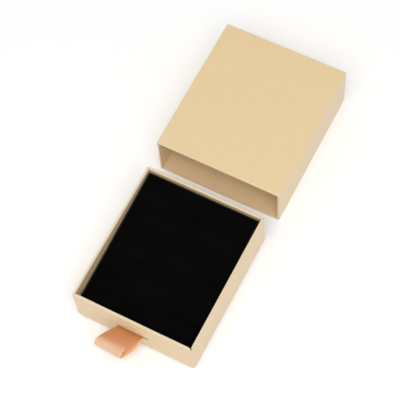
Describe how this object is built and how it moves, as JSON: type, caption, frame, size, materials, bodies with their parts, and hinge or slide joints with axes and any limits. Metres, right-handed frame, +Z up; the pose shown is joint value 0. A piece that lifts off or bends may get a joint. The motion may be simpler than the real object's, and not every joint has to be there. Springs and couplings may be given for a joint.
{
  "type": "sliding drawer gift box",
  "caption": "Small kraft-paper gift box: a padded drawer with a ribbon pull slides out of an open-mouthed rectangular sleeve.",
  "frame": {"origin": "centre of the sleeve's base, on the table", "axes": "+Z up; +Y from the sleeve's open mouth towards its closed back, so the drawer opens towards -Y; +X to the right as seen from the mouth"},
  "size_m": [0.08, 0.211, 0.0328],
  "materials": {
    "kraft_wrap": "uncoated kraft paper, matte, faint fibres",
    "kraft_lining": "uncoated kraft paper, matte",
    "greyboard": "solid board, raw",
    "pad_card": "stiff card, raw",
    "pad_foam": "firm foam",
    "pad_velvet": "short black pile",
    "satin_ribbon": "peach satin weave, soft sheen"
  },
  "bodies": {
    "sleeve": {"sleeve_top_board": "greyboard", "sleeve_bottom_board": "greyboard", "sleeve_left_board": "greyboard", "sleeve_right_board": "greyboard", "sleeve_back_board": "greyboard", "sleeve_wrap": "kraft_wrap", "sleeve_liner": "kraft_lining", "sleeve_base_sheet": "kraft_lining"},
    "drawer": {"drawer_front_board": "greyboard", "drawer_back_board": "greyboard", "drawer_left_board": "greyboard", "drawer_right_board": "greyboard", "drawer_base_board": "greyboard", "drawer_floor_liner": "kraft_lining", "drawer_wrap": "kraft_wrap", "drawer_base_sheet": "kraft_lining", "ribbon_tails": "satin_ribbon", "ribbon_patch": "kraft_lining"},
    "pull": {"ribbon_loop": "satin_ribbon"},
    "pad": {"pad_card": "pad_card", "pad_foam": "pad_foam", "pad_velvet": "pad_velvet"}
  },
  "joints": [
    {"name": "drawer_slide", "type": "slide", "parent": "sleeve", "child": "drawer", "axis": [0, 1, 0], "range_m": [0, 0.105]},
    {"name": "pull_flex", "type": "hinge", "parent": "drawer", "child": "pull", "pos_m": [-0.0015, -0.1514, 0.0149], "axis": [-1, 0, 0], "range_deg": [-20, 60]},
    {"name": "pad_lift", "type": "slide", "parent": "drawer", "child": "pad", "axis": [0, 0, 1], "range_m": [0, 0.045]}
  ]
}
